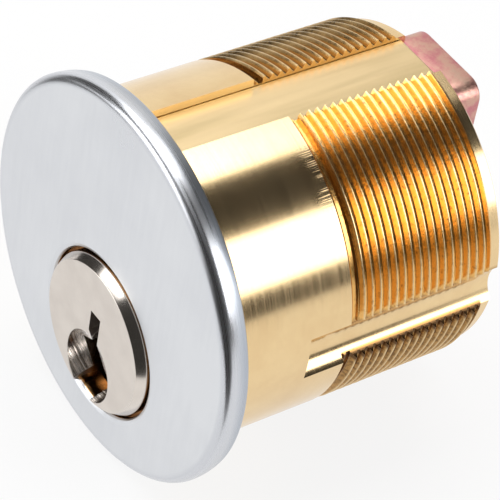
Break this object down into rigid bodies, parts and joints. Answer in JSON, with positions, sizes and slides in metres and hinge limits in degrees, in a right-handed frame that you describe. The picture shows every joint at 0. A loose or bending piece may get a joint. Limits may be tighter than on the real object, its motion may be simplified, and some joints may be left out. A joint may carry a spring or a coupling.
{
  "type": "mortise lock cylinder",
  "caption": "Threaded round lock cylinder with a keyed plug, pins and springs inside and a cam on its rear, for a mortise lock case.",
  "frame": {"origin": "on the body's axis, in the plane of the head's back face, which seats against the trim or the lock's face", "axes": "+Y along the axis from the head into the body, +Z to 12 o'clock where the pins are, +X to 3 o'clock as seen from the front"},
  "size_m": [0.034, 0.0323, 0.034],
  "materials": {
    "shell_brass": "turned and threaded brass, satin nickel plate on the head",
    "cover_brass": "dull rolled brass strip",
    "plug_nickel": "satin nickel-plated brass",
    "cam_brass": "die-cast, slightly grainy",
    "screw_steel": "plain machined steel",
    "key_pin_brass": "turned brass",
    "driver_pin_brass": "turned brass",
    "spring_wire": "bright drawn spring wire"
  },
  "bodies": {
    "shell": {"shell": "shell_brass", "chamber_cover": "cover_brass", "spring_1": "spring_wire", "spring_2": "spring_wire", "spring_3": "spring_wire", "spring_4": "spring_wire", "spring_5": "spring_wire"},
    "plug": {"plug": "plug_nickel", "cam": "cam_brass", "cam_screws": "screw_steel"},
    "key_pin_1": {"key_pin_1": "key_pin_brass"},
    "key_pin_2": {"key_pin_2": "key_pin_brass"},
    "key_pin_3": {"key_pin_3": "key_pin_brass"},
    "key_pin_4": {"key_pin_4": "key_pin_brass"},
    "key_pin_5": {"key_pin_5": "key_pin_brass"},
    "driver_pin_1": {"driver_pin_1": "driver_pin_brass"},
    "driver_pin_2": {"driver_pin_2": "driver_pin_brass"},
    "driver_pin_3": {"driver_pin_3": "driver_pin_brass"},
    "driver_pin_4": {"driver_pin_4": "driver_pin_brass"},
    "driver_pin_5": {"driver_pin_5": "driver_pin_brass"}
  },
  "joints": [
    {"name": "plug_turn", "type": "hinge", "parent": "shell", "child": "plug", "pos_m": [0, 0, -0.0058], "axis": [0, 1, 0], "continuous": true},
    {"name": "key_pin_1_slide", "type": "slide", "parent": "plug", "child": "key_pin_1", "axis": [0, 0, 1], "range_m": [-0.00191, 0]},
    {"name": "key_pin_2_slide", "type": "slide", "parent": "plug", "child": "key_pin_2", "axis": [0, 0, 1], "range_m": [-0.00271, 0]},
    {"name": "key_pin_3_slide", "type": "slide", "parent": "plug", "child": "key_pin_3", "axis": [0, 0, 1], "range_m": [-0.00111, 0]},
    {"name": "key_pin_4_slide", "type": "slide", "parent": "plug", "child": "key_pin_4", "axis": [0, 0, 1], "range_m": [-0.00231, 0]},
    {"name": "key_pin_5_slide", "type": "slide", "parent": "plug", "child": "key_pin_5", "axis": [0, 0, 1], "range_m": [-0.00151, 0]},
    {"name": "driver_pin_1_slide", "type": "slide", "parent": "shell", "child": "driver_pin_1", "axis": [0, 0, 1], "range_m": [0, 0.003], "stiffness_N_per_m": 100, "springref_m": -0.0032, "deforming": ["spring_1"]},
    {"name": "driver_pin_2_slide", "type": "slide", "parent": "shell", "child": "driver_pin_2", "axis": [0, 0, 1], "range_m": [0, 0.003], "stiffness_N_per_m": 100, "springref_m": -0.0032, "deforming": ["spring_2"]},
    {"name": "driver_pin_3_slide", "type": "slide", "parent": "shell", "child": "driver_pin_3", "axis": [0, 0, 1], "range_m": [0, 0.003], "stiffness_N_per_m": 100, "springref_m": -0.0032, "deforming": ["spring_3"]},
    {"name": "driver_pin_4_slide", "type": "slide", "parent": "shell", "child": "driver_pin_4", "axis": [0, 0, 1], "range_m": [0, 0.003], "stiffness_N_per_m": 100, "springref_m": -0.0032, "deforming": ["spring_4"]},
    {"name": "driver_pin_5_slide", "type": "slide", "parent": "shell", "child": "driver_pin_5", "axis": [0, 0, 1], "range_m": [0, 0.003], "stiffness_N_per_m": 100, "springref_m": -0.0032, "deforming": ["spring_5"]}
  ]
}
